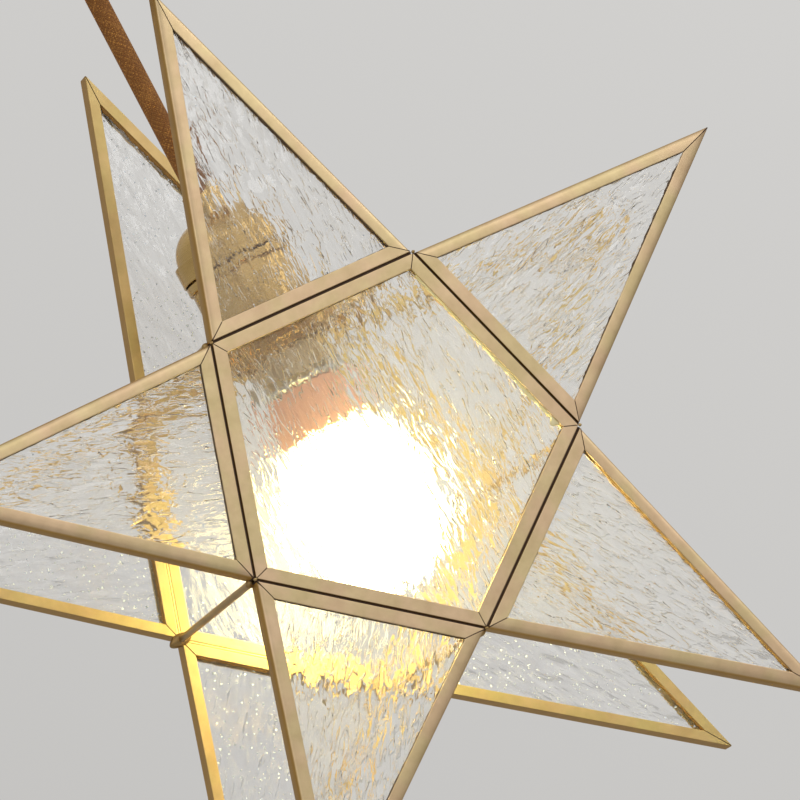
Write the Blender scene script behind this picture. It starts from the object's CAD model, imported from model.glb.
import bmesh
import bpy
import numpy as np
from mathutils import Matrix, Vector


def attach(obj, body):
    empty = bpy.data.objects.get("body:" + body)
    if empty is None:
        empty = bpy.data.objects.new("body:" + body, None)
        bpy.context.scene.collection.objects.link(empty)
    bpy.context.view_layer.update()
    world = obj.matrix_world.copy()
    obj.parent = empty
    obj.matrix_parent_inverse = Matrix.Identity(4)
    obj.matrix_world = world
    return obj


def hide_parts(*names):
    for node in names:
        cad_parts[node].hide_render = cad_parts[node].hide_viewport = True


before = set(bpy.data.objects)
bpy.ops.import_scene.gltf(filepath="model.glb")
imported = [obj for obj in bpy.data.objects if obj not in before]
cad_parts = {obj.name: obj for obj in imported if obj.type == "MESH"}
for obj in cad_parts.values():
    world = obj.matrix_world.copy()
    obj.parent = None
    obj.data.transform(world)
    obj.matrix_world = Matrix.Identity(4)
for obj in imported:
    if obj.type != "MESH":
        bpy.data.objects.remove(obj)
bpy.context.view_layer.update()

# --- Camera -----------------------------------------------------------------------------
# A long lens, to the left of the star and a little below its middle, rolled so that the cord runs up to
# the left. The three directions are its own right, up and back.
camera = bpy.data.objects.new("camera", bpy.data.cameras.new("camera"))
bpy.context.collection.objects.link(camera)
camera.data.lens = 234.6
camera.data.sensor_width = 36.0
camera_right = Vector((0.82263, -0.33068, -0.46252))
camera_up = Vector((0.38294, -0.27907, 0.88061))
camera_back = camera_right.cross(camera_up)
camera.matrix_world = Matrix((camera_right, camera_up, camera_back)).transposed().to_4x4()
camera.location = (-0.66593, -1.49068, -0.37932)
bpy.context.scene.camera = camera
bpy.context.scene.view_settings.view_transform = "Standard"

# --- Canopy -----------------------------------------------------------------------------
# A spun brass cup against the ceiling: straight rim, rounded shoulder, flat middle with a hole for
# the brass cord grip. Both are brushed in the lathe, so their fine lines run round them.


def node(tree, kind, inputs=(), **settings):
    """A shader node with its settings made and its inputs set, or linked where the value is a socket."""
    made = tree.nodes.new("ShaderNode" + kind)
    for key, value in settings.items():
        setattr(made, key, value)
    for key, value in dict(inputs).items():
        if isinstance(value, bpy.types.NodeSocket):
            tree.links.new(value, made.inputs[key])
        else:
            made.inputs[key].default_value = value
    return made


def blend_colours(tree, factor, dark, light, start=0.0, end=1.0):
    """A colour socket from dark where the factor is start to light where it is end."""
    ramp = node(tree, "ValToRGB", {"Fac": factor})
    for element, place, colour in zip(ramp.color_ramp.elements, (start, end), (dark, light)):
        element.position, element.color = place, (*colour, 1)
    return ramp.outputs["Color"]


def new_tree(name):
    """A new material with an empty node tree: the material and its tree."""
    material = bpy.data.materials.new(name)
    material.use_nodes = True
    material.node_tree.nodes.clear()
    return material, material.node_tree


def spread(tree, value, low, high, start=0.0, end=1.0):
    """A value socket mapped to low where it is start, up to high where it is end."""
    ends = {"From Min": start, "From Max": end, "To Min": low, "To Max": high}
    return node(tree, "MapRange", {"Value": value, **ends}).outputs["Result"]


def surface(tree, inputs):
    """The principled shader with those inputs, as what the material shows."""
    shader = node(tree, "BsdfPrincipled", inputs)
    node(tree, "OutputMaterial", {"Surface": shader.outputs["BSDF"]})


GRAIN_HEIGHT = 0.0002


def brushed_metal(name, dark, light, roughness, stretch):
    """Metal with cloudy colour, and fine scratches: noise stretched by stretch (per metre)."""
    material, tree = new_tree(name)
    place = node(tree, "TexCoord").outputs["Object"]
    clouds = node(tree, "TexNoise", {"Vector": place, "Scale": 55.0, "Detail": 5.0, "Roughness": 0.6})
    lines = node(tree, "Mapping", {"Vector": place, "Scale": stretch})
    scratches = node(tree, "TexNoise", {"Vector": lines.outputs["Vector"], "Scale": 1.0, "Detail": 4.0})
    bump = node(tree, "Bump", {"Height": scratches.outputs["Fac"], "Strength": 0.12,
                               "Distance": GRAIN_HEIGHT})
    surface(tree, {
        "Base Color": blend_colours(tree, clouds.outputs["Fac"], dark, light, 0.3, 0.7),
        "Metallic": 1.0,
        "Roughness": spread(tree, scratches.outputs["Fac"], roughness - 0.08, roughness + 0.08),
        "Normal": bump.outputs["Normal"],
    })
    return material


def piece(name, points, faces, body, material, replaces=(), flow=None, crease=38.0):
    """A finished piece at the origin: doubles merged, faces outward, smooth up to the crease angle."""
    mesh = bpy.data.meshes.new(name)
    mesh.from_pydata(np.asarray(points).tolist(), [], faces)
    if flow is not None:
        attribute = mesh.attributes.new("flow", "FLOAT_VECTOR", "POINT")
        attribute.data.foreach_set("vector", np.asarray(flow, float).ravel())
    shape = bmesh.new()
    shape.from_mesh(mesh)
    bmesh.ops.remove_doubles(shape, verts=shape.verts, dist=1e-6)
    bmesh.ops.recalc_face_normals(shape, faces=shape.faces)
    shape.to_mesh(mesh)
    shape.free()
    mesh.polygons.foreach_set("use_smooth", np.ones(len(mesh.polygons), bool))
    mesh.set_sharp_from_angle(angle=np.radians(crease))
    made = bpy.data.objects.new(name, mesh)
    bpy.context.collection.objects.link(made)
    made.data.materials.append(material)
    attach(made, body)
    if replaces:
        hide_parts(*replaces)
    return made


def quads(rows, columns, start=0, close_rows=False):
    """Faces of rings of points, one ring a row: each joins a point to the next along its ring, to the
    next ring, and back."""
    row = np.arange(rows if close_rows else rows - 1)[:, None]
    column = np.arange(columns)[None, :]
    next_row, next_column = (row + 1) % rows, (column + 1) % columns
    corners = [row * columns + column, row * columns + next_column,
               next_row * columns + next_column, next_row * columns + column]
    return (np.stack(corners, axis=-1).reshape(-1, 4) + start).tolist()


def bow(start, end, radius, steps=14):
    """Points on the arc of that radius from start to end, bulging to the left where it is positive."""
    start, end = np.array(start, float), np.array(end, float)
    chord = end - start
    half = np.linalg.norm(chord) / 2
    side = np.array([-chord[1], chord[0]]) / (2 * half)
    centre = (start + end) / 2 - side * np.sign(radius) * np.sqrt(radius ** 2 - half ** 2)
    first = np.arctan2(*(start - centre)[::-1])
    turn = np.arctan2(*(end - centre)[::-1]) - first
    turn = (turn + np.pi) % (2 * np.pi) - np.pi
    angle = first + turn * np.linspace(0, 1, steps)
    return centre + abs(radius) * np.stack([np.cos(angle), np.sin(angle)], axis=-1)


def rounded(outline, radius, most=0.36, steps=5):
    """A closed outline with round corners: at each, a parabola between points radius away on its two
    sides (at most a share of the side), with one more point a quarter further out on each side so that
    the flats stay flat."""
    corner = np.asarray(outline, float)
    ways = []
    for other in (np.roll(corner, 1, axis=0), np.roll(corner, -1, axis=0)):
        way = other - corner
        length = np.linalg.norm(way, axis=1, keepdims=True)
        ways.append(way / length * np.minimum(radius, most * length))
    before, after = ways
    t = np.linspace(0, 1, steps)[None, :, None]
    first, last = (corner + before)[:, None], (corner + after)[:, None]
    curve = (1 - t) ** 2 * first + 2 * t * (1 - t) * corner[:, None] + t ** 2 * last
    ends = (corner + 1.25 * before)[:, None], (corner + 1.25 * after)[:, None]
    return np.concatenate([ends[0], curve, ends[1]], axis=1).reshape(-1, 2)


def turned(name, outline, body, material, replaces=(), round_by=0.0, sides=128):
    """An outline of (radius, height) in millimetres turned about Z: x = r cos t, y = r sin t."""
    outline = rounded(outline, round_by) if round_by else np.asarray(outline, float)
    angle = np.linspace(0, 2 * np.pi, sides, endpoint=False)
    radius, height = outline[:, :1], outline[:, 1:]
    rings = [radius * np.cos(angle), radius * np.sin(angle), height + 0 * angle]
    points = np.stack(rings, axis=-1).reshape(-1, 3) / 1000
    faces = quads(len(outline), sides, close_rows=True)
    piece(name, points, faces, body, material, replaces)


CANOPY_RADIUS, CANOPY_DEPTH, CANOPY_WALL, RIM_HEIGHT = 57.5, 27.0, 1.0, 6.0
FLAT_RADIUS, SHOULDER_RADIUS = 34.0, 30.0
CORD_RADIUS = 3.45
GRIP_MOUTH, GRIP_RADIUS, GRIP_CHAMFER, CHAMFER_HEIGHT = -39.2, 7.0, 1.0, 1.5
FLANGE_RADIUS, FLANGE_HEIGHT, THREAD_RADIUS, THREAD_LENGTH = 11.0, 2.2, 5.0, 7.0
spun_brass = brushed_metal("spun_brass", (0.72, 0.545, 0.285), (0.82, 0.64, 0.355), 0.36,
                           (60.0, 60.0, 3000.0))
inside_radius, floor_height = CANOPY_RADIUS - CANOPY_WALL, CANOPY_WALL - CANOPY_DEPTH
canopy_outline = [
    (THREAD_RADIUS, -CANOPY_DEPTH),
    *bow((FLAT_RADIUS, -CANOPY_DEPTH), (CANOPY_RADIUS, -RIM_HEIGHT), -SHOULDER_RADIUS),
    (CANOPY_RADIUS, 0.0), (inside_radius, 0.0),
    *bow((inside_radius, -RIM_HEIGHT), (FLAT_RADIUS, floor_height), SHOULDER_RADIUS - CANOPY_WALL),
    (THREAD_RADIUS, floor_height)]
turned("canopy_cup", canopy_outline, "ceiling_fitting", spun_brass, ["canopy"], 0.3)
flange_foot, thread_top = -CANOPY_DEPTH - FLANGE_HEIGHT, THREAD_LENGTH - CANOPY_DEPTH
grip_outline = [
    (CORD_RADIUS, GRIP_MOUTH), (GRIP_RADIUS - GRIP_CHAMFER, GRIP_MOUTH),
    (GRIP_RADIUS, GRIP_MOUTH + CHAMFER_HEIGHT), (GRIP_RADIUS, flange_foot), (FLANGE_RADIUS, flange_foot),
    (FLANGE_RADIUS, -CANOPY_DEPTH), (THREAD_RADIUS, -CANOPY_DEPTH), (THREAD_RADIUS, thread_top),
    (CORD_RADIUS, thread_top)]
turned("grip_body", grip_outline, "ceiling_fitting", spun_brass, ["cord_grip"], 0.35)

# --- Ceiling fitting inside the canopy --------------------------------------------------
# A zinc-plated crossbar with two studs, the brass cap nuts and lock nut, and a moulded terminal block
# for the two insulated leads. They are the solids of the model with their finishes put on.


def finish_nodes(names, material):
    """Give CAD nodes a finish."""
    for name in names:
        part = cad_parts[name]
        part.data.materials.clear()
        part.data.materials.append(material)


def moulded(name, dark, light, roughness, scale=90.0, grain=0.08, coat=0.0):
    """Plastic, fibre or insulation: cloudy colour and a fine orange-peel surface."""
    material, tree = new_tree(name)
    place = node(tree, "TexCoord").outputs["Object"]
    clouds = node(tree, "TexNoise", {"Vector": place, "Scale": scale, "Detail": 4.0})
    peel = node(tree, "TexNoise", {"Vector": place, "Scale": 2600.0, "Detail": 3.0})
    bump = node(tree, "Bump", {"Height": peel.outputs["Fac"], "Strength": grain, "Distance": GRAIN_HEIGHT})
    surface(tree, {
        "Base Color": blend_colours(tree, clouds.outputs["Fac"], dark, light),
        "Roughness": spread(tree, clouds.outputs["Fac"], roughness - 0.06, roughness + 0.06),
        "Coat Weight": coat,
        "Normal": bump.outputs["Normal"],
    })
    return material


zinc = brushed_metal("zinc_plate", (0.50, 0.50, 0.49), (0.64, 0.64, 0.62), 0.38, (40.0, 2200.0, 2200.0))
finish_nodes(["crossbar", "canopy_studs"], zinc)
finish_nodes(["canopy_cap_nuts", "grip_lock_nut"], spun_brass)
finish_nodes(["terminal_block"], moulded("block_plastic", (0.70, 0.68, 0.62), (0.80, 0.78, 0.72), 0.42))
lead_finish = moulded("lead_insulation", (0.66, 0.63, 0.56), (0.76, 0.73, 0.66), 0.38)
finish_nodes(["canopy_leads", "holder_leads"], lead_finish)

# --- Cord -------------------------------------------------------------------------------
# A round flex in a braided cover of brown yarn with a copper fleck, pulled straight by the lantern.
# It leaves the grip under the canopy, bends about a ball and ends in the neck of the lamp holder.

BEND_HEIGHT, TAIL_TOP = -0.043, -0.013
TAIL_CLEARANCE, CUP_RADIUS, CUP_REACHES = 0.0015, 0.0035, (0.0030, 0.0025, 0.0018, 0.0010, 0.0003)
CORD_ROUTE = [(0.0, 0.0, BEND_HEIGHT), (0.0, 0.0, -0.082), (0.0, 0.0, -0.1219)]
cord_curve = bpy.data.curves.new("cord_route", "CURVE")
cord_curve.dimensions = "3D"
cord_spline = cord_curve.splines.new("NURBS")
cord_spline.points.add(len(CORD_ROUTE) - 1)
for spot, control in zip(CORD_ROUTE, cord_spline.points):
    control.co = (*spot, 1.0)
cord_spline.order_u = 3
cord_spline.use_endpoint_u = True
cord_guide = bpy.data.objects.new("cord_route", cord_curve)
bpy.context.collection.objects.link(cord_guide)
evaluated_guide = cord_guide.evaluated_get(bpy.context.evaluated_depsgraph_get())
cord_line = np.array([point.co for point in bpy.data.meshes.new_from_object(evaluated_guide).vertices])
bpy.data.objects.remove(cord_guide)


def closed_tube(rows, columns, start=0):
    """Faces of a tube of rings of points, with one face over each end."""
    ends = (start, start + (rows - 1) * columns)
    return quads(rows, columns, start) + [list(range(end, end + columns)) for end in ends]


def braid(around, along, yarns, pitch):
    """A diamond braid: two families of yarns climb round the cord opposite ways, and where the sum of
    their numbers is even the first lies on top. Gives the height (0 to 1), and a number of its own for
    the yarn on top."""
    turn = around * yarns
    first, second = turn + along / pitch, turn - along / pitch
    first_on_top = (np.floor(first) + np.floor(second)) % 2 < 1
    place = np.where(first_on_top, first, second)
    across = 2 * (place % 1) - 1
    other = 2 * (np.where(first_on_top, second, first) % 1) - 1
    yarn = np.where(first_on_top, np.floor(first) * 7.3, np.floor(second) * 3.1 + 40)
    return (1 - across ** 2) * (1 - 0.45 * other ** 2), yarn


def braided_tube(line, cup=(), columns=132, step=0.00017, yarns=22, pitch=0.0009, depth=0.00034):
    """The cord along a straight line down, its radius raised by the braid. The rings (reach, height) of a
    cup hollow its foot. Gives points, faces and flow, which is (around, along, yarn)."""
    top, foot = line[0], line[-1]
    length = np.linalg.norm(foot - top)
    rows = int(length / step)
    along, around = np.meshgrid(np.linspace(0, length, rows), np.linspace(0, 1, columns, False),
                                indexing="ij")
    height, yarn = braid(around, along, yarns, pitch)
    reach = CORD_RADIUS / 1000 - depth * (1 - height)
    cup = np.reshape(cup, (-1, 2))
    reach = np.vstack([reach, np.repeat(cup[:, :1], columns, axis=1)])
    along = np.vstack([along, np.repeat(top[2] - cup[:, 1:], columns, axis=1)])
    around, yarn = (np.vstack([part, np.repeat(part[-1:], len(cup), axis=0)]) for part in (around, yarn))
    angle = 2 * np.pi * around
    points = [top[0] + reach * np.cos(angle), top[1] - reach * np.sin(angle), top[2] - along]
    flow = [around, along, yarn * 0.001]
    points, flow = (np.stack(parts, axis=-1).reshape(-1, 3) for parts in (points, flow))
    return points, closed_tube(rows + len(cup), columns), flow


def braided_yarn(name):
    """Yarn: each strand its own brown, some copper, rougher in the hollows, with fuzz as sheen."""
    material, tree = new_tree(name)
    flow = node(tree, "Attribute", attribute_name="flow").outputs["Vector"]
    strand = node(tree, "SeparateXYZ", {"Vector": flow}).outputs["Z"]
    pick = node(tree, "TexWhiteNoise", {"W": strand}, noise_dimensions="1D")
    place = node(tree, "TexCoord").outputs["Object"]
    fibres = node(tree, "TexNoise", {"Vector": place, "Scale": 3200.0, "Detail": 3.0})
    base = blend_colours(tree, pick.outputs["Value"], (0.25, 0.090, 0.008), (0.60, 0.28, 0.055), 0.55)
    tint = blend_colours(tree, fibres.outputs["Fac"], (0.66, 0.62, 0.58), (1.25, 1.22, 1.2))
    mixed = node(tree, "Mix", {"Factor": 1.0, "A": base, "B": tint}, data_type="RGBA",
                 blend_type="MULTIPLY")
    bump = node(tree, "Bump", {"Height": fibres.outputs["Fac"], "Strength": 0.4, "Distance": GRAIN_HEIGHT})
    surface(tree, {
        "Base Color": mixed.outputs["Result"], "Roughness": 0.62, "Sheen Weight": 0.12,
        "Sheen Roughness": 0.4, "Sheen Tint": (0.9, 0.62, 0.4, 1), "Normal": bump.outputs["Normal"],
    })
    return material


yarn_finish = braided_yarn("braided_yarn")
cord_points, cord_faces, cord_flow = braided_tube(cord_line)
cord_cover = piece("cord_cover", cord_points, cord_faces, "cord", yarn_finish, ["cord"],
                   cord_flow, crease=80.0)
tail_line = np.array([(0.0, 0.0, TAIL_TOP), (0.0, 0.0, BEND_HEIGHT + TAIL_CLEARANCE)])
tail_cup = [(reach, BEND_HEIGHT + np.sqrt(CUP_RADIUS ** 2 - reach ** 2)) for reach in CUP_REACHES]
tail_points, tail_faces, tail_flow = braided_tube(tail_line, tail_cup)
piece("cord_tail_cover", tail_points, tail_faces, "ceiling_fitting", yarn_finish,
      ["cord_tail"], tail_flow, crease=80.0)
finish_nodes(["cord_bend", "cord_end"], yarn_finish)

# --- Lamp holder ------------------------------------------------------------------------
# Pressed brass cap with neck, dome and skirt over a thin brass shell with a rolled bead. Inside are a
# fibre liner, a moulded core and the threaded sleeve. A small steel screw in the neck grips the cord.

STAR_CENTRE_MM = -225.0
NECK_BORE, NECK_RADIUS, NECK_TOP, CAP_WALL = 3.5, 5.5, 103.0, 0.7
DOME_TOP, DOME_FOOT, DOME_START, DOME_END, DOME_ROUND = 94.4, 83.6, 6.6, 16.6, 11.5
SKIRT_RADIUS, SKIRT_FOOT = 17.9, 77.1
SHELL_BORE, SHELL_RADIUS, SHELL_FOOT, SHELL_TOP = 15.6, 16.6, 45.0, 81.0
SHELL_STEP, STEP_RADIUS = 73.3, 16.1
BEAD_RADIUS, BEAD_FOOT, BEAD_TOP = 17.4, 73.9, 76.6
NUT_RADIUS, NUT_HEIGHT = 20.0, 3.8


def lift(outline):
    """An outline with its heights counted from the star's middle, as (radius, height) below the ceiling."""
    return np.asarray(outline, float) + (0, STAR_CENTRE_MM)


holder_brass = brushed_metal("holder_brass", (0.44, 0.285, 0.095), (0.70, 0.48, 0.19), 0.26,
                             (70.0, 70.0, 2600.0))
dome_start, dome_end = np.array([DOME_START, DOME_TOP]), np.array([DOME_END, DOME_FOOT])
cap_outline = lift([
    (NECK_BORE, NECK_TOP), (NECK_BORE, DOME_TOP),
    *bow(dome_start - CAP_WALL, dome_end - CAP_WALL, DOME_ROUND - CAP_WALL),
    (SKIRT_RADIUS - CAP_WALL, DOME_FOOT - CAP_WALL), (SKIRT_RADIUS - CAP_WALL, SKIRT_FOOT),
    (SKIRT_RADIUS, SKIRT_FOOT), (SKIRT_RADIUS, DOME_FOOT), *bow(dome_end, dome_start, -DOME_ROUND),
    (NECK_RADIUS, DOME_TOP), (NECK_RADIUS, NECK_TOP)])
turned("holder_cap_shell", cap_outline, "star", holder_brass, ["holder_cap"], 0.3)
shell_outline = lift([
    (SHELL_BORE, SHELL_FOOT), (SHELL_RADIUS, SHELL_FOOT), (SHELL_RADIUS, SHELL_STEP),
    (STEP_RADIUS, SHELL_STEP), (STEP_RADIUS, BEAD_FOOT), (BEAD_RADIUS, BEAD_FOOT), (BEAD_RADIUS, BEAD_TOP),
    (STEP_RADIUS, BEAD_TOP), (STEP_RADIUS, SHELL_TOP), (SHELL_BORE, SHELL_TOP)])
turned("holder_outer_shell", shell_outline, "star", holder_brass, ["holder_shell"], 0.35)
for ring, low in (("upper_ring_nut", 52.6), ("lower_ring_nut", 46.8)):
    nut_outline = lift([(SHELL_RADIUS, low), (NUT_RADIUS, low), (NUT_RADIUS, low + NUT_HEIGHT),
                        (SHELL_RADIUS, low + NUT_HEIGHT)])
    turned(ring + "_body", nut_outline, "star", holder_brass, [ring], 0.5)
finish_nodes(["neck_set_screw"], zinc)
finish_nodes(["holder_liner"], moulded("fibre_liner", (0.26, 0.15, 0.08), (0.36, 0.22, 0.12), 0.6))
dark_moulding = moulded("dark_moulding", (0.035, 0.03, 0.028), (0.06, 0.055, 0.05), 0.35)
finish_nodes(["holder_core", "bulb_base_insulator"], dark_moulding)
contact_metal = brushed_metal("contact_brass", (0.74, 0.56, 0.28), (0.84, 0.66, 0.36), 0.24,
                              (60.0, 60.0, 2200.0))
finish_nodes(["contact_sleeve", "centre_contact", "terminal_screws", "bridge_bar"], contact_metal)

# --- Bulb -------------------------------------------------------------------------------
# A frosted lamp with a moulded salmon-coloured neck and a nickel-plated threaded base with a rolled rim.
# The diffuser is lit from inside by a small board; a second board in the neck drives it.

NECK_INSIDE, NECK_OUTSIDE, NECK_FOOT, NECK_HEAD, NECK_BEVEL = 11.6, 13.6, 16.5, 32.2, (0.7, 0.4)
RIM_FOOT, RIM_RADIUS, RIM_TOP, BASE_RADIUS = 32.0, 13.9, 36.2, 12.35
nickel = brushed_metal("nickel_plate", (0.50, 0.38, 0.21), (0.68, 0.54, 0.34), 0.22, (90.0, 90.0, 2600.0))
finish_nodes(["bulb_threaded_base", "bulb_tip_contact"], nickel)
finish_nodes(["bulb_light_board", "bulb_driver_board"],
             moulded("board_laminate", (0.55, 0.53, 0.46), (0.66, 0.64, 0.56), 0.5))
neck_outline = lift([
    (NECK_INSIDE, NECK_FOOT), (NECK_OUTSIDE, NECK_FOOT), (NECK_OUTSIDE, NECK_HEAD - NECK_BEVEL[1]),
    (NECK_OUTSIDE - NECK_BEVEL[0], NECK_HEAD), (NECK_INSIDE, NECK_HEAD)])
turned("bulb_neck_moulding", neck_outline, "bulb",
       moulded("salmon_moulding", (0.82, 0.42, 0.29), (0.90, 0.49, 0.34), 0.4), ["bulb_neck"], 0.4)
rim_outline = lift([
    (NECK_INSIDE, RIM_FOOT), (13.0, NECK_HEAD), (RIM_RADIUS, 33.2), (RIM_RADIUS, 34.2), (13.1, 35.2),
    (BASE_RADIUS, RIM_TOP), (NECK_INSIDE, RIM_TOP)])
turned("bulb_base_rim", rim_outline, "bulb",
       brushed_metal("bright_nickel", (0.50, 0.49, 0.46), (0.66, 0.65, 0.62), 0.30, (90.0, 90.0, 2600.0)))
GLOBE_RADIUS, GLOBE_WIDEST, GLOBE_FOOT, GLOBE_WALL = 24.0, -14.0, -39.0, 1.0
SHOULDER_ROUND, FOOT_ROUND, LIT_DIMMEST, LIT_BRIGHTEST = 33.0, 24.6, -0.209, -0.262


def lit_frost(name, dim, bright, strength):
    """Frosted diffuser, lit from inside: warm light, weaker near the neck than at the round end."""
    material, tree = new_tree(name)
    place = node(tree, "TexCoord").outputs["Object"]
    grain = node(tree, "TexNoise", {"Vector": place, "Scale": 1500.0, "Detail": 2.0})
    height = node(tree, "SeparateXYZ", {"Vector": place}).outputs["Z"]
    share = spread(tree, height, 0.0, 1.0, LIT_DIMMEST, LIT_BRIGHTEST)
    surface(tree, {
        "Base Color": (0.9, 0.88, 0.84, 1), "Roughness": spread(tree, grain.outputs["Fac"], 0.45, 0.6),
        "Emission Color": blend_colours(tree, share, dim, bright), "Emission Strength": strength,
    })
    return material


globe_top, globe_side = np.array([NECK_OUTSIDE, NECK_FOOT]), np.array([GLOBE_RADIUS, GLOBE_WIDEST])
globe_foot, wall_in, wall_up = np.array([0.0, GLOBE_FOOT]), (GLOBE_WALL, 0.0), (0.0, GLOBE_WALL)
globe_outline = lift([
    *bow(globe_top, globe_side, SHOULDER_ROUND, 20), *bow(globe_side, globe_foot, FOOT_ROUND, 20)[1:],
    *bow(globe_foot + wall_up, globe_side - wall_in, GLOBE_WALL - FOOT_ROUND, 20),
    *bow(globe_side - wall_in, globe_top - wall_in, GLOBE_WALL - SHOULDER_ROUND, 20)[1:]])
turned("bulb_globe", globe_outline, "bulb",
       lit_frost("lit_frost", (0.24, 0.19, 0.06), (1.0, 0.87, 0.38), 25.0), ["bulb_diffuser"])

# --- Panel frames -----------------------------------------------------------------------
# Each star is a pentagon and five points. Every panel is framed by mitred brass channel, a C section
# with softly rounded edges that holds the glass; its flat outer side is tarnished, its faces are satin.

SIDE, REACH, SPACING = 75.0, 160.7, 77.0
APOTHEM = SIDE / 2 / np.tan(np.pi / 5)
CIRCUMRADIUS = SIDE / 2 / np.sin(np.pi / 5)
HALF_GAP, MITRE = 0.40, 0.30
FACE, INNER_FACE, HALF_DEPTH, WALL, CHANNEL_ROUND = 4.25, 3.5, 2.7, 0.7, 0.22
POINT_NAMES = ["top", "upper_right", "lower_right", "lower_left", "upper_left"]
corner_angles = np.radians(54 + 72 * np.arange(5))
PENTAGON = CIRCUMRADIUS * np.stack([np.cos(corner_angles), np.sin(corner_angles)], axis=-1)
TRIANGLE = np.array([(SIDE / 2, 0), (0, REACH - APOTHEM), (-SIDE / 2, 0)])
STARS = (("front", -SPACING / 2, -1), ("back", SPACING / 2, 1))
PANELS = [("pentagon", PENTAGON, 0.0, 0.0)]
for number, name in enumerate(POINT_NAMES):
    PANELS.append((name + "_point", TRIANGLE, APOTHEM, 2 * np.pi * number / 5))


def mitre_ways(corners):
    """For each corner, how far it moves for each millimetre that all the outline's edges move inward."""
    along = np.roll(corners, -1, axis=0) - corners
    along /= np.linalg.norm(along, axis=1, keepdims=True)
    inward = np.stack([-along[:, 1], along[:, 0]], axis=-1)
    before = np.roll(inward, 1, axis=0)
    return (inward + before) / (1 + (inward * before).sum(axis=1, keepdims=True))


def stand(across, depth, along, offset, turn, y):
    """Panel coordinates to the star's place: out by offset, turned about Y, in metres."""
    out = along + offset
    x = across * np.cos(turn) + out * np.sin(turn)
    z = -across * np.sin(turn) + out * np.cos(turn) + STAR_CENTRE_MM
    return np.stack([x, depth + y, z], axis=-1) / 1000


def strips(corners, section, shift, rows=2):
    """One strip along each edge: the section (inset, depth) is carried from corner to corner, and each
    end is cut along its mitre. Gives (edge, row, section point) arrays of across, along and distance."""
    ways = mitre_ways(corners)
    inset = section[:, 0] + HALF_GAP
    start = corners[:, None] + ways[:, None] * inset[None, :, None]
    end = np.roll(start, -1, axis=0)
    edge = np.roll(corners, -1, axis=0) - corners
    edge /= np.linalg.norm(edge, axis=1, keepdims=True)
    pull = shift * np.linalg.norm(ways, axis=1)
    start = start + edge[:, None] * pull[:, None, None]
    end = end - edge[:, None] * np.roll(pull, -1)[:, None, None]
    part = np.linspace(0, 1, rows)[None, :, None, None]
    path = start[:, None] * (1 - part) + end[:, None] * part
    return path, np.linalg.norm(path - start[:, None], axis=-1)


def polyline_length(section):
    """How far each point of a closed outline lies along it."""
    steps = np.linalg.norm(np.diff(section, axis=0, append=section[:1]), axis=1)
    return np.concatenate([[0], np.cumsum(steps)[:-1]])


# The C section as (inset, depth), with its wide face at the outside of the lantern. On the outer edges
# of the front points that face falls away in a long soft round.
LIP = HALF_DEPTH - WALL
joint_channel = rounded([(0, -HALF_DEPTH), (FACE, -HALF_DEPTH), (FACE, -LIP), (WALL, -LIP), (WALL, LIP),
                         (INNER_FACE, LIP), (INNER_FACE, HALF_DEPTH), (0, HALF_DEPTH)], CHANNEL_ROUND)
OUTER_ROUND = [(0.0, 1.75), (0.05, 1.95), (0.14, 2.12), (0.28, 2.28), (0.5, 2.43), (0.8, 2.54), (1.25, 2.63),
               (2.0, 2.685), (3.0, HALF_DEPTH), (3.95, HALF_DEPTH), (4.12, 2.68), (4.22, 2.62), (FACE, 2.52),
               (FACE, LIP), (WALL, LIP)]
INNER_LIP = [(WALL, LIP), (3.3, LIP), (3.45, 2.05), (INNER_FACE, 2.2), (INNER_FACE, 2.5), (3.42, 2.65),
             (3.25, HALF_DEPTH), (0.3, HALF_DEPTH), (0.1, 2.62), (0.0, 2.45)]
outer_channel = np.array([(inset, -depth) for inset, depth in OUTER_ROUND] + INNER_LIP)


def channel_frame(name, corners, sections, offset, turn, y, finish, replaced):
    """A panel's frame of mitred channel strips as one piece, each edge with its own section. flow is how
    far along the strip (counted on for each strip, so that no two match), how far round the section, and
    how far from the strip's outer side, times the section's fade: tarnish ends sooner on some edges."""
    points, flow, faces, start = [], [], [], 0
    for edge, (section, fade) in enumerate(sections):
        path, distance = (part[edge] for part in strips(corners, section, MITRE / 2))
        rows, count = distance.shape
        inset, depth = (np.broadcast_to(part, distance.shape) for part in section.T)
        round_it = np.broadcast_to(polyline_length(section), distance.shape)
        points.append(stand(path[..., 0], depth, path[..., 1], offset, turn, y).reshape(-1, 3))
        along = distance + 400.0 * edge + 170.0 * turn
        flow.append(np.stack([along, round_it, inset * fade], axis=-1).reshape(-1, 3) / 1000)
        faces += closed_tube(rows, count, start)
        start += rows * count
    piece(name, np.concatenate(points), faces, "star", finish, replaced, np.concatenate(flow))


TARNISH_REACH = 0.0005


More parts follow.
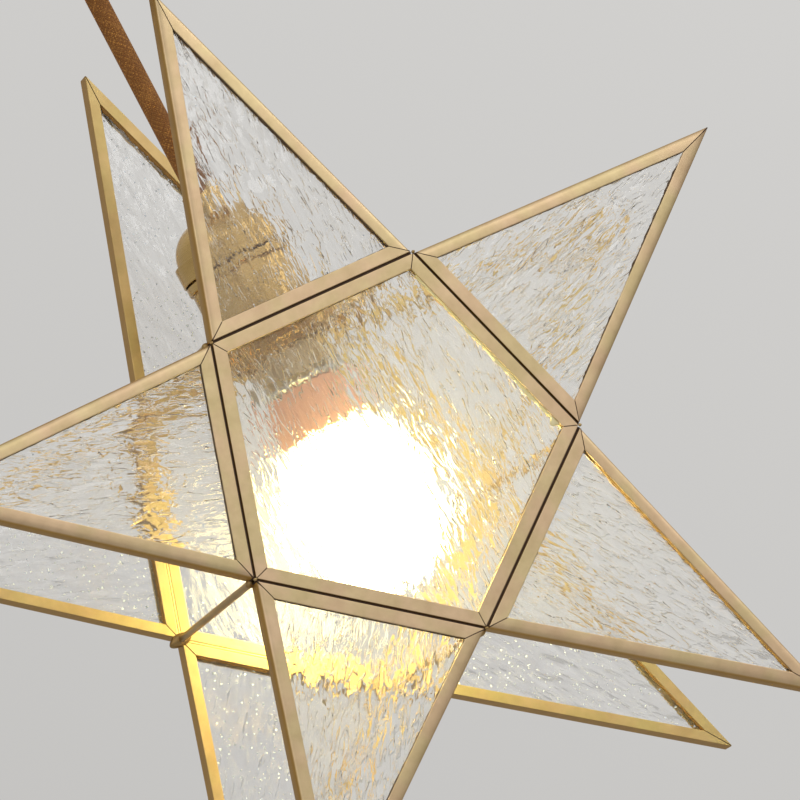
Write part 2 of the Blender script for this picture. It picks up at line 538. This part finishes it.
def channel_brass(name, dark, light, metallic):
    """Satin brass drawn through a die: fine streaks along the strip, cloudy patches that lean pink or
    green, and brown tarnish on the flat outer side."""
    material, tree = new_tree(name)
    flow = node(tree, "Attribute", attribute_name="flow").outputs["Vector"]
    place = node(tree, "TexCoord").outputs["Object"]
    lines = node(tree, "Mapping", {"Vector": flow, "Scale": (45.0, 3200.0, 0.0)})
    streaks = node(tree, "TexNoise", {"Vector": lines.outputs["Vector"], "Scale": 1.0, "Detail": 4.0})
    clouds = node(tree, "TexNoise", {"Vector": place, "Scale": 120.0, "Detail": 5.0, "Roughness": 0.62})
    hue = node(tree, "TexNoise", {"Vector": place, "Scale": 65.0, "Detail": 2.0})
    tone = blend_colours(tree, clouds.outputs["Fac"], dark, light, 0.32, 0.68)
    patch = blend_colours(tree, hue.outputs["Fac"], (0.97, 1.01, 0.93), (1.03, 0.985, 1.03), 0.38, 0.62)
    tinted = node(tree, "Mix", {"Factor": 1.0, "A": tone, "B": patch}, data_type="RGBA",
                  blend_type="MULTIPLY")
    inset = node(tree, "SeparateXYZ", {"Vector": flow}).outputs["Z"]
    outer = spread(tree, inset, 1.0, 0.0, 0.0, TARNISH_REACH)
    brown = blend_colours(tree, clouds.outputs["Fac"], (0.34, 0.18, 0.030), (0.52, 0.30, 0.060))
    tarnish = node(tree, "Mix", {"Factor": outer, "A": tinted.outputs["Result"], "B": brown},
                   data_type="RGBA")
    bump = node(tree, "Bump", {"Height": streaks.outputs["Fac"], "Strength": 0.10, "Distance": GRAIN_HEIGHT})
    surface(tree, {
        "Base Color": tarnish.outputs["Result"], "Metallic": metallic,
        "Roughness": spread(tree, streaks.outputs["Fac"], 0.36, 0.52), "Normal": bump.outputs["Normal"],
    })
    return material


JOINT_FADE, OUTER_FADE = 4, 1
frame_finish = {"front": channel_brass("front_channel_brass", (0.61, 0.455, 0.265), (0.73, 0.56, 0.34), 1.0),
                "back": channel_brass("back_channel_brass", (0.62, 0.45, 0.18), (0.73, 0.55, 0.235), 0.7)}
for side, y, outward in STARS:
    for name, corners, offset, turn in PANELS:
        sections = [(joint_channel, JOINT_FADE)] * len(corners)
        if side == "front" and name != "pentagon":
            sections[:2] = [(outer_channel, OUTER_FADE)] * 2
        sections = [(section * (1, -outward), fade) for section, fade in sections]
        channel_frame(f"{side}_{name}_channel", corners, sections, offset, turn, y, frame_finish[side],
                      [f"{side}_{name}_frame"])

# --- Joints between the strips ----------------------------------------------------------
# Brown-black cement fills the joints between the front pentagon and its points a little below the faces.
# The back star's joints are run nearly full of solder. Dark solder closes the mitres.


def box_faces(start):
    """The six faces of a box from eight points, four below and four above."""
    return [[start + corner for corner in face] for face in
            ((3, 2, 1, 0), (4, 5, 6, 7), (0, 1, 5, 4), (1, 2, 6, 5), (2, 3, 7, 6), (3, 0, 4, 7))]


joint_finish = moulded("dark_joint", (0.035, 0.014, 0.005), (0.095, 0.045, 0.018), 0.7, 900.0, 0.5)
joint_solder = brushed_metal("joint_solder", (0.64, 0.47, 0.19), (0.74, 0.57, 0.25), 0.45, (90.0, 90.0, 90.0))
FILLER_HALF_HEIGHT, FILLER_ROUND, FILLER_GAP = 2.05, 0.2, 0.5
FILLERS = {"front": (1.0, "dark_insulation", joint_finish), "back": (1.29, "solder", joint_solder)}
SEAM_HALF_WIDTH, SEAM_DEPTH, SEAM_START = 0.2, 0.15, 0.25
filler = rounded([(-HALF_GAP, -FILLER_HALF_HEIGHT), (HALF_GAP, -FILLER_HALF_HEIGHT),
                  (HALF_GAP, FILLER_HALF_HEIGHT), (-HALF_GAP, FILLER_HALF_HEIGHT)], FILLER_ROUND)
filler_path, filler_distance = strips(PENTAGON, filler - (HALF_GAP, 0), FILLER_GAP)
filler_faces = []
for start in range(0, filler_distance.size, 2 * len(filler)):
    filler_faces += closed_tube(2, len(filler), start)
for side, y, outward in STARS:
    fullness, slot, finish = FILLERS[side]
    filler_depth = np.broadcast_to(filler[:, 1] * fullness, filler_distance.shape)
    filler_points = stand(filler_path[..., 0], filler_depth, filler_path[..., 1], 0.0, 0.0, y).reshape(-1, 3)
    piece(side + "_joint_filler", filler_points, filler_faces, "star", finish)
    seam_points, seam_faces = [], []
    for _, corners, offset, turn in PANELS:
        for corner, way in zip(corners, mitre_ways(corners)):
            side_way = SEAM_HALF_WIDTH * np.array([-way[1], way[0]]) / np.linalg.norm(way)
            seam_faces += box_faces(4 * len(seam_points))
            for facing, reach in ((outward, FACE), (-outward, INNER_FACE)):
                near = corner + way * (HALF_GAP + SEAM_START)
                far = corner + way * (HALF_GAP + reach - SEAM_DEPTH)
                spots = np.array([near - side_way, near + side_way, far + side_way, far - side_way])
                depth = np.full(4, facing * (HALF_DEPTH - SEAM_DEPTH))
                seam_points.append(stand(spots[:, 0], depth, spots[:, 1], offset, turn, y))
    piece(side + "_mitre_seams", np.concatenate(seam_points), seam_faces, "star", joint_finish)

# --- Tie bars and solder ----------------------------------------------------------------
# Five round bars join the stars at the inner corners. A lump of solder holds each end: small and flat
# outside, rounder between the stars. The solder has browned like the brass.


LUMP_ROWS, LUMP_COLUMNS, LUMP_SINK, INNER_LUMP_SINK = 14, 26, 0.05, 0.1
OUTER_LUMP = (0.62, 0.26, 0.5)
INNER_LUMP = {"front": (1.5, 1.3, 1.4), "back": (4.0, 2.0, 2.1)}


def lump(centre, radii, seed, unevenness=0.16):
    """An uneven lump: an ellipsoid whose reach is raised and lowered by a few smooth waves."""
    rng = np.random.default_rng(seed)
    down = np.linspace(0, np.pi, LUMP_ROWS)[:, None]
    around = np.linspace(0, 2 * np.pi, LUMP_COLUMNS, False)[None, :]
    down, around = np.broadcast_arrays(down, around)
    reach = 1 + 0 * down
    for wave in (1, 2, 3, 4):
        sideways = np.sin(wave * around + rng.random() * 6.3)
        reach += unevenness / wave * sideways * np.sin(down * (1 + wave % 2)) * rng.random()
    way = np.stack([np.sin(down) * np.cos(around), np.cos(down), np.sin(down) * np.sin(around)], axis=-1)
    return (np.asarray(centre) + way * reach[..., None] * radii).reshape(-1, 3)


old_solder = brushed_metal("old_solder", (0.26, 0.15, 0.05), (0.50, 0.36, 0.17), 0.42, (420.0, 420.0, 420.0))
for side, y, outward in STARS:
    lump_points, lump_faces = [], []
    for number, (x, height) in enumerate(PENTAGON):
        for depth, radii in ((outward * (HALF_DEPTH - LUMP_SINK), OUTER_LUMP),
                             (-outward * (HALF_DEPTH - INNER_LUMP_SINK), INNER_LUMP[side])):
            lump_faces += quads(LUMP_ROWS, LUMP_COLUMNS, len(lump_points) * LUMP_ROWS * LUMP_COLUMNS)
            seed = 7 + number + 10 * len(lump_points)
            lump_points.append(lump((x, depth, height), radii, seed) + (0, y, STAR_CENTRE_MM))
    piece(side + "_solder_lumps", np.concatenate(lump_points) / 1000, lump_faces, "star",
          old_solder, [side + "_solder_joints"])
finish_nodes(["tie_bars"], brushed_metal("tie_bar_brass", (0.36, 0.235, 0.095), (0.56, 0.40, 0.18), 0.34,
                                         (70.0, 2400.0, 2400.0)))

# --- Glass ------------------------------------------------------------------------------
# Clear cast glass, rippled on both faces like rain on a window, with small seeds. The ripples run out
# towards each point's tip, and straight up in the pentagon.


LATTICE = 256
RIPPLES = ((0.62, 2.3, 6, 2), (0.15, 1.2, 3.5, 3), (0.30, 5.5, 12, 4))


def smooth_noise(u, v, seed):
    """Random heights from -1 to 1 on a lattice of unit squares, eased from one to the next both ways."""
    heights = np.random.default_rng(seed).random((LATTICE, LATTICE)) * 2 - 1
    column, row = np.floor(u).astype(int), np.floor(v).astype(int)
    ease_u, ease_v = (part * part * (3 - 2 * part) for part in (u - column, v - row))
    left, right, low, high = (part % LATTICE for part in (column, column + 1, row, row + 1))
    near = heights[left, low] * (1 - ease_u) + heights[right, low] * ease_u
    far = heights[left, high] * (1 - ease_u) + heights[right, high] * ease_u
    return near * (1 - ease_v) + far * ease_v


def ripples(across, along, seed):
    """Height of a rippled face: long narrow waves at three widths (each a height, a width, a length and
    a number for its seed), their lines made to wander sideways by broader noise, stronger in some
    patches than in others."""
    wander = 1.9 * smooth_noise(across / 8, along / 8, seed)
    wander = wander + 0.7 * smooth_noise(across / 3.5, along / 4, seed + 1)
    line = across + wander
    height = sum(rise * smooth_noise(line / width, along / length, seed + number)
                 for rise, width, length, number in RIPPLES)
    return height * (0.8 + 0.4 * smooth_noise(across / 17, along / 19, seed + 5))


PANE_STEP = 0.95
OUTER_HEIGHT, OUTER_RISE, INNER_HEIGHT, INNER_RISE = 1.50, 0.30, 1.55, 0.27


def glass_plate(name, edge, columns, offset, turn, y, outward, seed, finish, replaced):
    """A pane between straight sides. edge lists (along, half width) from its foot up. Each row of points
    goes across the outer face and, in fewer points, back across the inner one. flow is (across, along,
    depth), moved on for each pane and face, so that no two match."""
    edge = np.asarray(edge, float)
    along = np.unique(np.concatenate([np.arange(edge[0, 0], edge[-1, 0], PANE_STEP), edge[:, 0]]))
    half = np.interp(along, edge[:, 0], edge[:, 1])
    out = np.linspace(-1, 1, columns)[None, :] * half[:, None]
    back = np.linspace(1, -1, columns * 6 // 10)[None, :] * half[:, None]
    rows = along[:, None]
    outer = outward * (OUTER_HEIGHT + OUTER_RISE * ripples(out, rows + 0 * out, seed))
    inner = -outward * (INNER_HEIGHT + INNER_RISE * ripples(back, rows + 0 * back, seed + 20))
    across = np.concatenate([out, back], axis=1)
    depth = np.concatenate([outer, inner], axis=1)
    rows = np.broadcast_to(rows, across.shape)
    points = stand(across, depth, rows, offset, turn, y).reshape(-1, 3)
    face = np.arange(across.shape[1]) >= columns
    flow = np.stack([across + 3.1 * seed, rows + 200 + 90 * face, depth], axis=-1).reshape(-1, 3) / 1000
    piece(name, points, closed_tube(*across.shape), "star", finish, replaced, flow,
          crease=70.0)


HAZE_SHARE = 0.02


def clear_glass(name, crease_colour, crease_clear, rough, seed_share, seed_size, relief, crease_height):
    """Clear glass with broken creases along the ripples, and small white seeds in some of the cells of a
    Voronoi pattern. The creases are low ridges, so they bend what is behind them. They lie where noise
    stretched along the ripples passes its middle. A trace of haze glows in front of the lit bulb."""
    material, tree = new_tree(name)
    flow = node(tree, "Attribute", attribute_name="flow").outputs["Vector"]
    long_way = node(tree, "Mapping", {"Vector": flow, "Scale": (400.0, 90.0, 0.0)})
    lines = node(tree, "TexNoise", {"Vector": long_way.outputs["Vector"], "Scale": 1.0, "Detail": 2.0,
                                    "Roughness": 0.45, "Distortion": 0.5})
    off = node(tree, "Math", {0: lines.outputs["Fac"], 1: 0.5}, operation="SUBTRACT")
    away = node(tree, "Math", {0: off.outputs["Value"]}, operation="ABSOLUTE")
    crease = node(tree, "MapRange", {"Value": away.outputs["Value"], "From Min": 0.0, "From Max": 0.055,
                                     "To Min": 1.0, "To Max": 0.0}, interpolation_type="SMOOTHSTEP")
    gaps = node(tree, "Mapping", {"Vector": flow, "Scale": (260.0, 190.0, 0.0)})
    broken = node(tree, "TexNoise", {"Vector": gaps.outputs["Vector"], "Scale": 1.0, "Detail": 2.0})
    shown = spread(tree, broken.outputs["Fac"], 0.0, 1.0, 0.42, 0.56)
    mark = node(tree, "Math", {0: crease.outputs["Result"], 1: shown}, operation="MULTIPLY").outputs["Value"]
    seeds = node(tree, "TexVoronoi", {"Vector": flow, "Scale": 400.0, "Randomness": 1.0},
                 voronoi_dimensions="2D")
    pick = node(tree, "SeparateColor", {"Color": seeds.outputs["Color"]})
    reach = spread(tree, pick.outputs["Red"], 0.0, seed_size, 1.0 - seed_share)
    seed = node(tree, "Math", {0: seeds.outputs["Distance"], 1: reach},
                operation="LESS_THAN").outputs["Value"]
    waves = node(tree, "Bump", {"Height": lines.outputs["Fac"], "Strength": 1.0, "Distance": relief})
    bump = node(tree, "Bump", {"Height": mark, "Strength": 1.0, "Distance": crease_height,
                               "Normal": waves.outputs["Normal"]}, invert=True)
    tint = blend_colours(tree, mark, (1.0, 0.993, 0.98), crease_colour)
    colour = node(tree, "Mix", {"Factor": seed, "A": tint, "B": (0.84, 0.92, 1.0, 1)}, data_type="RGBA")
    whole = spread(tree, mark, 1.0, crease_clear)
    clear_share = node(tree, "Mix", {"Factor": seed, "A": whole, "B": 0.1}, data_type="FLOAT")
    glass = node(tree, "BsdfPrincipled", {
        "Base Color": colour.outputs["Result"], "IOR": 1.5,
        "Roughness": spread(tree, mark, *rough),
        "Transmission Weight": clear_share.outputs["Result"], "Normal": bump.outputs["Normal"],
    })
    haze = node(tree, "BsdfTranslucent", {"Color": (1.0, 0.98, 0.94, 1)})
    hazy = node(tree, "MixShader", {"Fac": HAZE_SHARE, 1: glass.outputs["BSDF"], 2: haze.outputs["BSDF"]})
    clear = node(tree, "BsdfTransparent", {"Color": (0.93, 0.94, 0.93, 1)})
    shadow = node(tree, "LightPath").outputs["Is Shadow Ray"]
    seen = node(tree, "MixShader", {"Fac": shadow, 1: hazy.outputs["Shader"], 2: clear.outputs["BSDF"]})
    node(tree, "OutputMaterial", {"Surface": seen.outputs["Shader"]})
    return material


PANE_INSET = 1.45
inner_pentagon = PENTAGON + PANE_INSET * mitre_ways(PENTAGON)
inner_triangle = TRIANGLE + PANE_INSET * mitre_ways(TRIANGLE)
PANE_EDGES = {
    "pentagon": [(inner_pentagon[3, 1], 0.05), (inner_pentagon[4, 1], inner_pentagon[4, 0]),
                 (inner_pentagon[0, 1], inner_pentagon[0, 0])],
    "point": [(inner_triangle[0, 1], inner_triangle[0, 0]), (inner_triangle[1, 1], 0.05)],
}
PANE_COLUMNS = {"pentagon": 340, "point": 200}
PANE_SEEDS = {"front": 10, "back": 50}
glass_finish = {
    "front": clear_glass("front_glass", crease_colour=(0.97, 0.94, 0.88), crease_clear=1.0,
                         rough=(0.06, 0.10), seed_share=0.07, seed_size=0.12, relief=0.0003,
                         crease_height=0.00012),
    "back": clear_glass("back_glass", crease_colour=(0.97, 0.97, 0.96), crease_clear=0.92,
                        rough=(0.06, 0.20), seed_share=0.62, seed_size=0.16, relief=0.0004,
                        crease_height=0.00003)}
for side, y, outward in STARS:
    for number, (name, _, offset, turn) in enumerate(PANELS):
        form = "pentagon" if name == "pentagon" else "point"
        glass_plate(f"{side}_{name}_pane", PANE_EDGES[form], PANE_COLUMNS[form], offset, turn, y, outward,
                    100 * number + PANE_SEEDS[side], glass_finish[side], [f"{side}_{name}_glass"])

# --- Cement along the glass -------------------------------------------------------------
# Where a pane meets the lip of its channel the cement has squeezed out in a thin uneven line: black on the
# front, with amber and clear yellow along two edges and a yellow drop at the pentagon's right corner, and
# brown between the stars.


CEMENT_STEP, CEMENT_TAPER, CEMENT_THINNEST = 0.45, 1.5, 0.02
CEMENT_SECTION = [(-0.4, 0.0, 2.05), (-0.02, 0.0, 2.25), (0.0, 0.55, 2.1), (0.0, 1.0, 1.6), (0.0, 0.6, 1.0),
                  (-0.4, 0.0, 1.0)]


def cement_line(panel, edge, first, last, widths, y, lip, facing, seed):
    """A bead along a channel's lip, between shares first and last of the edge, its width wandering
    between the two given ones. It stands from the glass up to just below the brass face. Each point of
    its section is (inset, share of the width added to it, height)."""
    corners, offset, turn = panel[1:]
    lip_corners = corners + mitre_ways(corners) * (HALF_GAP + lip)
    start, end = lip_corners[edge], np.roll(lip_corners, -1, axis=0)[edge]
    length = np.linalg.norm(end - start)
    inward = np.array([-(end - start)[1], (end - start)[0]]) / length
    place = np.arange(first * length, last * length, CEMENT_STEP)
    slow = smooth_noise(place / 2.6, place * 0 + 0.5, seed)
    quick = smooth_noise(place / 0.9, place * 0 + 3.5, seed)
    least, most = widths
    width = np.clip(least + (most - least) * (0.45 + 0.7 * (0.6 * slow + 0.5 * quick)), CEMENT_THINNEST, None)
    taper = np.clip(np.minimum(place - place[0], place[-1] - place) / CEMENT_TAPER, CEMENT_THINNEST, 1)
    width = width * taper
    start_at, share, rise = np.array(CEMENT_SECTION).T
    inset = start_at + share * width[:, None]
    height = np.broadcast_to(rise, inset.shape)
    line = start + (end - start) * (place / length)[:, None]
    spots = line[:, None] + inward * inset[..., None]
    points = stand(spots[..., 0], facing * height, spots[..., 1], offset, turn, y)
    return points.reshape(-1, 3), closed_tube(*inset.shape)


def cement_piece(name, lines, y, lip, facing, finish, seed):
    """Several cement lines as one piece; lines lists (panel, edge, first share, last share, widths), with
    the panels and their edges counted from 0 in the order of PANELS and of their corners."""
    points, faces, count = [], [], 0
    for number, (panel, *stretch) in enumerate(lines):
        bead, bead_faces = cement_line(PANELS[panel], *stretch, y, lip, facing, seed + number)
        points.append(bead)
        faces += [[index + count for index in face] for face in bead_faces]
        count += len(bead)
    piece(name, np.concatenate(points), faces, "star", finish, crease=60.0)


black_cement = moulded("black_cement", (0.035, 0.020, 0.010), (0.15, 0.085, 0.035), 0.55, 1200.0, 0.5)
amber_cement = moulded("amber_cement", (0.50, 0.24, 0.045), (0.80, 0.50, 0.14), 0.35, 700.0, 0.4, 0.3)
yellow_cement = moulded("yellow_cement", (0.80, 0.66, 0.24), (0.95, 0.88, 0.62), 0.3, 700.0, 0.4, 0.3)
brown_cement = moulded("brown_cement", (0.26, 0.12, 0.02), (0.46, 0.25, 0.06), 0.6, 1200.0, 0.5)
BLACK_LINES = [
    (1, 0, 0.02, 0.98, (0.05, 0.62)), (1, 1, 0.0, 1.0, (0.05, 0.3)), (1, 2, 0.0, 1.0, (0.05, 0.35)),
    (5, 2, 0.02, 0.98, (0.0, 0.32)), (5, 0, 0.0, 1.0, (0.05, 0.35)), (5, 1, 0.0, 1.0, (0.05, 0.3)),
    (2, 0, 0.05, 0.4, (0.05, 0.55)), (2, 0, 0.5, 0.95, (0.05, 0.6)), (2, 1, 0.0, 1.0, (0.05, 0.3)),
    (2, 2, 0.0, 1.0, (0.05, 0.3)), (3, 0, 0.0, 1.0, (0.05, 0.35)), (3, 2, 0.0, 1.0, (0.05, 0.35)),
    (4, 0, 0.0, 1.0, (0.05, 0.4)), (4, 1, 0.0, 1.0, (0.05, 0.35)), (4, 2, 0.0, 1.0, (0.05, 0.3)),
    *((0, edge, 0.0, 1.0, (0.05, 0.35)) for edge in range(4))]
AMBER_LINES = [(3, 1, 0.02, 0.95, (0.15, 0.75))]
YELLOW_LINES = [(0, 4, 0.03, 0.97, (0.35, 1.25)), (0, 4, 0.015, 0.08, (1.6, 2.8))]
BROWN_LINES = [
    (1, 0, 0.0, 1.0, (0.5, 1.2)), (4, 2, 0.0, 1.0, (0.5, 1.0)), (5, 2, 0.0, 1.0, (0.35, 0.95)),
    (1, 1, 0.0, 1.0, (0.0, 0.3)), (1, 2, 0.0, 1.0, (0.0, 0.3)), (2, 0, 0.0, 1.0, (0.05, 0.4)),
    (2, 1, 0.0, 1.0, (0.05, 0.4)), (2, 2, 0.0, 1.0, (0.1, 0.5)), (3, 0, 0.0, 1.0, (0.0, 0.35)),
    (3, 1, 0.0, 1.0, (0.1, 0.6)), (3, 2, 0.0, 1.0, (0.1, 0.5)), (4, 0, 0.0, 1.0, (0.05, 0.4)),
    (4, 1, 0.0, 1.0, (0.0, 0.3)), (5, 0, 0.0, 1.0, (0.0, 0.3)), (5, 1, 0.0, 1.0, (0.0, 0.3))]
cement_piece("front_black_cement", BLACK_LINES, -SPACING / 2, FACE, -1, black_cement, 300)
cement_piece("front_amber_cement", AMBER_LINES, -SPACING / 2, FACE, -1, amber_cement, 340)
cement_piece("front_yellow_cement", YELLOW_LINES, -SPACING / 2, FACE, -1, yellow_cement, 360)
cement_piece("back_brown_cement", BROWN_LINES, SPACING / 2, INNER_FACE, -1, brown_cement, 500)

# --- Floor, light and surroundings ------------------------------------------------------
# A pale floor well below the lantern, pale surroundings that grow a little brighter towards the upper
# right of the picture, and three soft lamps: a small one in front, and larger ones to the right and left.

FLOOR_HEIGHT, FLOOR_REACH = -1.0, 40.0
floor_corners = [(x * FLOOR_REACH, y * FLOOR_REACH, FLOOR_HEIGHT)
                 for x, y in ((-1, -1), (1, -1), (1, 1), (-1, 1))]
floor_mesh = bpy.data.meshes.new("floor")
floor_mesh.from_pydata(floor_corners, [], [(0, 1, 2, 3)])
floor = bpy.data.objects.new("floor", floor_mesh)
bpy.context.collection.objects.link(floor)
floor_paint = moulded("floor_paint", (0.56, 0.555, 0.545), (0.60, 0.595, 0.585), 0.7, 3.0, 0.02)
floor_mesh.materials.append(floor_paint)

world = bpy.data.worlds.new("surroundings")
bpy.context.scene.world = world
world.use_nodes = True
world_tree = world.node_tree
world_tree.nodes.clear()
BRIGHT_WAY, BRIGHT_SPAN = (0.674, -0.384, 0.608), 0.32
world_way = node(world_tree, "TexCoord").outputs["Generated"]
world_rise = node(world_tree, "VectorMath", {0: world_way, 1: BRIGHT_WAY}, operation="DOT_PRODUCT")
world_part = spread(world_tree, world_rise.outputs["Value"], 0.0, 1.0, -BRIGHT_SPAN, BRIGHT_SPAN)
world_colour = blend_colours(world_tree, world_part, (0.470, 0.462, 0.448), (0.730, 0.722, 0.708))
backdrop = node(world_tree, "Background", {"Color": world_colour, "Strength": 1.0})
node(world_tree, "OutputWorld", {"Surface": backdrop.outputs["Background"]})


def soft_lamp(name, place, size, power):
    """A square soft lamp that faces the star's middle, hidden from the camera and from behind glass."""
    lamp = bpy.data.lights.new(name, "AREA")
    lamp.shape = "SQUARE"
    lamp.size, lamp.energy = size, power
    made = bpy.data.objects.new(name, lamp)
    bpy.context.collection.objects.link(made)
    made.location = place
    aim = Vector((0, 0, STAR_CENTRE_MM / 1000))
    made.rotation_euler = (aim - Vector(place)).to_track_quat("-Z", "Y").to_euler()
    made.visible_camera = False
    made.visible_transmission = False


soft_lamp("front_softbox", (0.49, -1.09, 0.29), 0.4, 1.1)
soft_lamp("right_softbox", (1.65, -1.0, 0.45), 0.7, 4.0)
soft_lamp("left_softbox", (-1.1, -1.2, 0.7), 0.6, 2.0)
